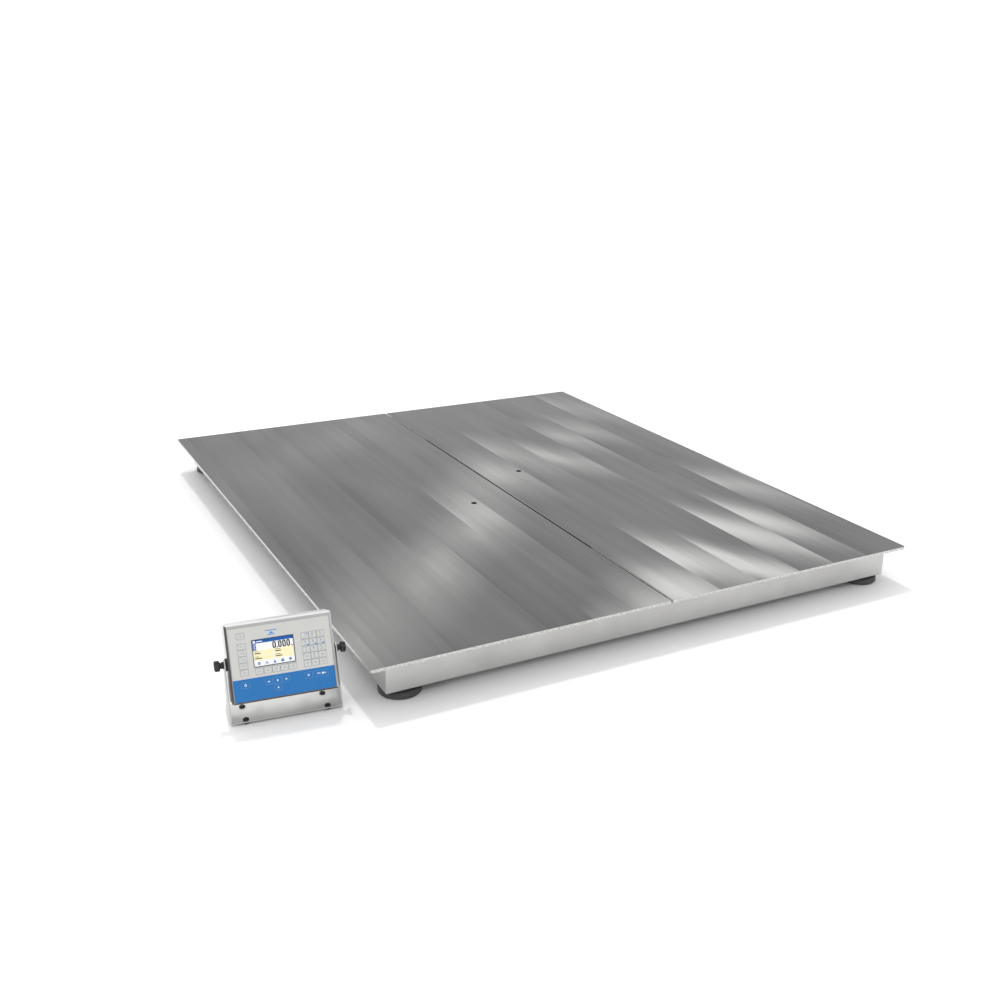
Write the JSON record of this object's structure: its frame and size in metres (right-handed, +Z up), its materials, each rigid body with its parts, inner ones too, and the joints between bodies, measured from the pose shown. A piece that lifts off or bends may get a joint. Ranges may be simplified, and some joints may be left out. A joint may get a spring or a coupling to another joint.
{
  "type": "animal weighing scale",
  "caption": "Low floor scale for livestock: split hinged steel deck on a folded frame with load-cell feet, and a separate tilting indicator with a keypad.",
  "frame": {"origin": "on the floor, at the centre of the plan box of the platform and the indicator together; the platform's centre is 0.12 m to its right (+X)", "axes": "+X to the right, +Y from the front edge to the rear along the split, +Z up"},
  "size_m": [1.4898, 1.5, 0.1672],
  "materials": {
    "deck_plate": "brushed, worn satin",
    "deck_underside": "mill finish",
    "frame_sheet": "fine brushed",
    "frame_inner": "mill finish",
    "seal_rubber": "matt",
    "hinge_steel": "satin",
    "cell_steel": "ground",
    "bolt_steel": "plain",
    "foot_rubber": "matt",
    "stud_steel": "plain",
    "box_steel": "satin",
    "gland_plastic": "matt",
    "lead_rubber": "matt",
    "bracket_sheet": "fine brushed",
    "bumper_rubber": "matt",
    "housing_sheet": "fine brushed",
    "overlay_sheet": "satin",
    "window_glass": "clear",
    "display_module": "matt",
    "board_laminate": "matt",
    "washer_plastic": "matt",
    "knob_plastic": "satin",
    "key_grey": "satin",
    "key_blue": "satin"
  },
  "bodies": {
    "base": {"frame_side_rails": "frame_sheet", "frame_end_rails": "frame_sheet", "centre_beam": "frame_inner", "cross_members": "frame_inner", "deck_seal": "seal_rubber", "hinge_frame_leaves": "hinge_steel", "hinge_pins": "hinge_steel", "load_cells": "cell_steel", "cell_blocks": "frame_inner", "cell_bolts": "bolt_steel", "junction_box": "box_steel", "junction_lid": "box_steel", "cable_glands": "gland_plastic", "cell_leads": "lead_rubber"},
    "left_half": {"deck_left": "deck_plate", "deck_stiffeners_left": "deck_underside", "hinge_deck_leaves_left": "hinge_steel"},
    "right_half": {"deck_right": "deck_plate", "deck_stiffeners_right": "deck_underside", "hinge_deck_leaves_right": "hinge_steel"},
    "indicator_stand": {"ind_bracket": "bracket_sheet", "ind_bumpers": "bumper_rubber"},
    "indicator_head": {"ind_housing": "housing_sheet", "ind_bezel": "housing_sheet", "ind_overlay": "overlay_sheet", "ind_window": "window_glass", "ind_display": "display_module", "ind_board": "board_laminate", "ind_glands": "gland_plastic", "ind_screws": "bolt_steel", "pivot_washers": "washer_plastic"},
    "clamp_knob_left": {"knob_left": "knob_plastic"},
    "clamp_knob_right": {"knob_right": "knob_plastic"},
    "pad_front_left": {"foot_pad_front_left": "foot_rubber"},
    "stud_front_left": {"foot_stud_front_left": "stud_steel"},
    "pad_front_right": {"foot_pad_front_right": "foot_rubber"},
    "stud_front_right": {"foot_stud_front_right": "stud_steel"},
    "pad_rear_left": {"foot_pad_rear_left": "foot_rubber"},
    "stud_rear_left": {"foot_stud_rear_left": "stud_steel"},
    "pad_rear_right": {"foot_pad_rear_right": "foot_rubber"},
    "stud_rear_right": {"foot_stud_rear_right": "stud_steel"},
    "press_key_side_1": {"key_side_1": "key_grey"},
    "press_key_side_2": {"key_side_2": "key_grey"},
    "press_key_side_3": {"key_side_3": "key_grey"},
    "press_key_side_4": {"key_side_4": "key_grey"},
    "press_key_side_5": {"key_side_5": "key_grey"},
    "press_key_side_6": {"key_side_6": "key_grey"},
    "press_key_soft_1": {"key_soft_1": "key_grey"},
    "press_key_soft_2": {"key_soft_2": "key_grey"},
    "press_key_soft_3": {"key_soft_3": "key_grey"},
    "press_key_soft_4": {"key_soft_4": "key_grey"},
    "press_key_soft_5": {"key_soft_5": "key_grey"},
    "press_key_power": {"key_power": "key_blue"},
    "press_key_left": {"key_left": "key_blue"},
    "press_key_up": {"key_up": "key_blue"},
    "press_key_right": {"key_right": "key_blue"},
    "press_key_down": {"key_down": "key_blue"},
    "press_key_escape": {"key_escape": "key_blue"},
    "press_key_enter": {"key_enter": "key_blue"},
    "press_keys_numeric": {"keys_numeric": "key_grey"}
  },
  "joints": [
    {"name": "left_half_lift", "type": "hinge", "parent": "base", "child": "left_half", "pos_m": [-0.478, 0, 0.069], "axis": [0, -1, 0], "range_deg": [0, 95]},
    {"name": "right_half_lift", "type": "hinge", "parent": "base", "child": "right_half", "pos_m": [0.718, 0, 0.069], "axis": [0, 1, 0], "range_deg": [0, 95]},
    {"name": "foot_height_front_left", "type": "slide", "parent": "base", "child": "pad_front_left", "axis": [0, 0, -1], "range_m": [0, 0.008]},
    {"name": "foot_turn_front_left", "type": "hinge", "parent": "pad_front_left", "child": "stud_front_left", "pos_m": [-0.43, -0.692, 0.03], "axis": [0, 0, -1], "range_deg": [0, 1440]},
    {"name": "foot_height_front_right", "type": "slide", "parent": "base", "child": "pad_front_right", "axis": [0, 0, -1], "range_m": [0, 0.008]},
    {"name": "foot_turn_front_right", "type": "hinge", "parent": "pad_front_right", "child": "stud_front_right", "pos_m": [0.67, -0.692, 0.03], "axis": [0, 0, -1], "range_deg": [0, 1440]},
    {"name": "foot_height_rear_left", "type": "slide", "parent": "base", "child": "pad_rear_left", "axis": [0, 0, -1], "range_m": [0, 0.008]},
    {"name": "foot_turn_rear_left", "type": "hinge", "parent": "pad_rear_left", "child": "stud_rear_left", "pos_m": [-0.43, 0.692, 0.03], "axis": [0, 0, -1], "range_deg": [0, 1440]},
    {"name": "foot_height_rear_right", "type": "slide", "parent": "base", "child": "pad_rear_right", "axis": [0, 0, -1], "range_m": [0, 0.008]},
    {"name": "foot_turn_rear_right", "type": "hinge", "parent": "pad_rear_right", "child": "stud_rear_right", "pos_m": [0.67, 0.692, 0.03], "axis": [0, 0, -1], "range_deg": [0, 1440]},
    {"name": "indicator_lift_off", "type": "slide", "parent": "base", "child": "indicator_stand", "axis": [0, 0, 1], "range_m": [0, 0.15]},
    {"name": "indicator_tilt", "type": "hinge", "parent": "indicator_stand", "child": "indicator_head", "pos_m": [-0.63239, -0.65504, 0.097], "axis": [0.9925, -0.1219, 0], "range_deg": [-38, 32]},
    {"name": "knob_turn_left", "type": "hinge", "parent": "indicator_head", "child": "clamp_knob_left", "pos_m": [-0.63239, -0.65504, 0.097], "axis": [-0.9925, 0.1219, 0], "range_deg": [0, 360]},
    {"name": "knob_turn_right", "type": "hinge", "parent": "indicator_head", "child": "clamp_knob_right", "pos_m": [-0.63239, -0.65504, 0.097], "axis": [0.9925, -0.1219, 0], "range_deg": [0, 360]},
    {"name": "key_side_1_press", "type": "slide", "parent": "indicator_head", "child": "press_key_side_1", "axis": [0.1138, 0.9266, -0.3584], "range_m": [0, 0.0004], "stiffness_N_per_m": 3000, "springref_m": -0.0002},
    {"name": "key_side_2_press", "type": "slide", "parent": "indicator_head", "child": "press_key_side_2", "axis": [0.1138, 0.9266, -0.3584], "range_m": [0, 0.0004], "stiffness_N_per_m": 3000, "springref_m": -0.0002},
    {"name": "key_side_3_press", "type": "slide", "parent": "indicator_head", "child": "press_key_side_3", "axis": [0.1138, 0.9266, -0.3584], "range_m": [0, 0.0004], "stiffness_N_per_m": 3000, "springref_m": -0.0002},
    {"name": "key_side_4_press", "type": "slide", "parent": "indicator_head", "child": "press_key_side_4", "axis": [0.1138, 0.9266, -0.3584], "range_m": [0, 0.0004], "stiffness_N_per_m": 3000, "springref_m": -0.0002},
    {"name": "key_side_5_press", "type": "slide", "parent": "indicator_head", "child": "press_key_side_5", "axis": [0.1138, 0.9266, -0.3584], "range_m": [0, 0.0004], "stiffness_N_per_m": 3000, "springref_m": -0.0002},
    {"name": "key_side_6_press", "type": "slide", "parent": "indicator_head", "child": "press_key_side_6", "axis": [0.1138, 0.9266, -0.3584], "range_m": [0, 0.0004], "stiffness_N_per_m": 3000, "springref_m": -0.0002},
    {"name": "key_soft_1_press", "type": "slide", "parent": "indicator_head", "child": "press_key_soft_1", "axis": [0.1138, 0.9266, -0.3584], "range_m": [0, 0.0004], "stiffness_N_per_m": 3000, "springref_m": -0.0002},
    {"name": "key_soft_2_press", "type": "slide", "parent": "indicator_head", "child": "press_key_soft_2", "axis": [0.1138, 0.9266, -0.3584], "range_m": [0, 0.0004], "stiffness_N_per_m": 3000, "springref_m": -0.0002},
    {"name": "key_soft_3_press", "type": "slide", "parent": "indicator_head", "child": "press_key_soft_3", "axis": [0.1138, 0.9266, -0.3584], "range_m": [0, 0.0004], "stiffness_N_per_m": 3000, "springref_m": -0.0002},
    {"name": "key_soft_4_press", "type": "slide", "parent": "indicator_head", "child": "press_key_soft_4", "axis": [0.1138, 0.9266, -0.3584], "range_m": [0, 0.0004], "stiffness_N_per_m": 3000, "springref_m": -0.0002},
    {"name": "key_soft_5_press", "type": "slide", "parent": "indicator_head", "child": "press_key_soft_5", "axis": [0.1138, 0.9266, -0.3584], "range_m": [0, 0.0004], "stiffness_N_per_m": 3000, "springref_m": -0.0002},
    {"name": "key_power_press", "type": "slide", "parent": "indicator_head", "child": "press_key_power", "axis": [0.1138, 0.9266, -0.3584], "range_m": [0, 0.0004], "stiffness_N_per_m": 3000, "springref_m": -0.0002},
    {"name": "key_left_press", "type": "slide", "parent": "indicator_head", "child": "press_key_left", "axis": [0.1138, 0.9266, -0.3584], "range_m": [0, 0.0004], "stiffness_N_per_m": 3000, "springref_m": -0.0002},
    {"name": "key_up_press", "type": "slide", "parent": "indicator_head", "child": "press_key_up", "axis": [0.1138, 0.9266, -0.3584], "range_m": [0, 0.0004], "stiffness_N_per_m": 3000, "springref_m": -0.0002},
    {"name": "key_right_press", "type": "slide", "parent": "indicator_head", "child": "press_key_right", "axis": [0.1138, 0.9266, -0.3584], "range_m": [0, 0.0004], "stiffness_N_per_m": 3000, "springref_m": -0.0002},
    {"name": "key_down_press", "type": "slide", "parent": "indicator_head", "child": "press_key_down", "axis": [0.1138, 0.9266, -0.3584], "range_m": [0, 0.0004], "stiffness_N_per_m": 3000, "springref_m": -0.0002},
    {"name": "key_escape_press", "type": "slide", "parent": "indicator_head", "child": "press_key_escape", "axis": [0.1138, 0.9266, -0.3584], "range_m": [0, 0.0004], "stiffness_N_per_m": 3000, "springref_m": -0.0002},
    {"name": "key_enter_press", "type": "slide", "parent": "indicator_head", "child": "press_key_enter", "axis": [0.1138, 0.9266, -0.3584], "range_m": [0, 0.0004], "stiffness_N_per_m": 3000, "springref_m": -0.0002},
    {"name": "keys_numeric_press", "type": "slide", "parent": "indicator_head", "child": "press_keys_numeric", "axis": [0.1138, 0.9266, -0.3584], "range_m": [0, 0.0004], "stiffness_N_per_m": 3000, "springref_m": -0.0002}
  ],
  "couplings": [
    {"joint": "foot_turn_front_left", "follows": "foot_height_front_left", "rad_per_m": 3141.6},
    {"joint": "foot_turn_front_right", "follows": "foot_height_front_right", "rad_per_m": 3141.6},
    {"joint": "foot_turn_rear_left", "follows": "foot_height_rear_left", "rad_per_m": 3141.6},
    {"joint": "foot_turn_rear_right", "follows": "foot_height_rear_right", "rad_per_m": 3141.6}
  ]
}
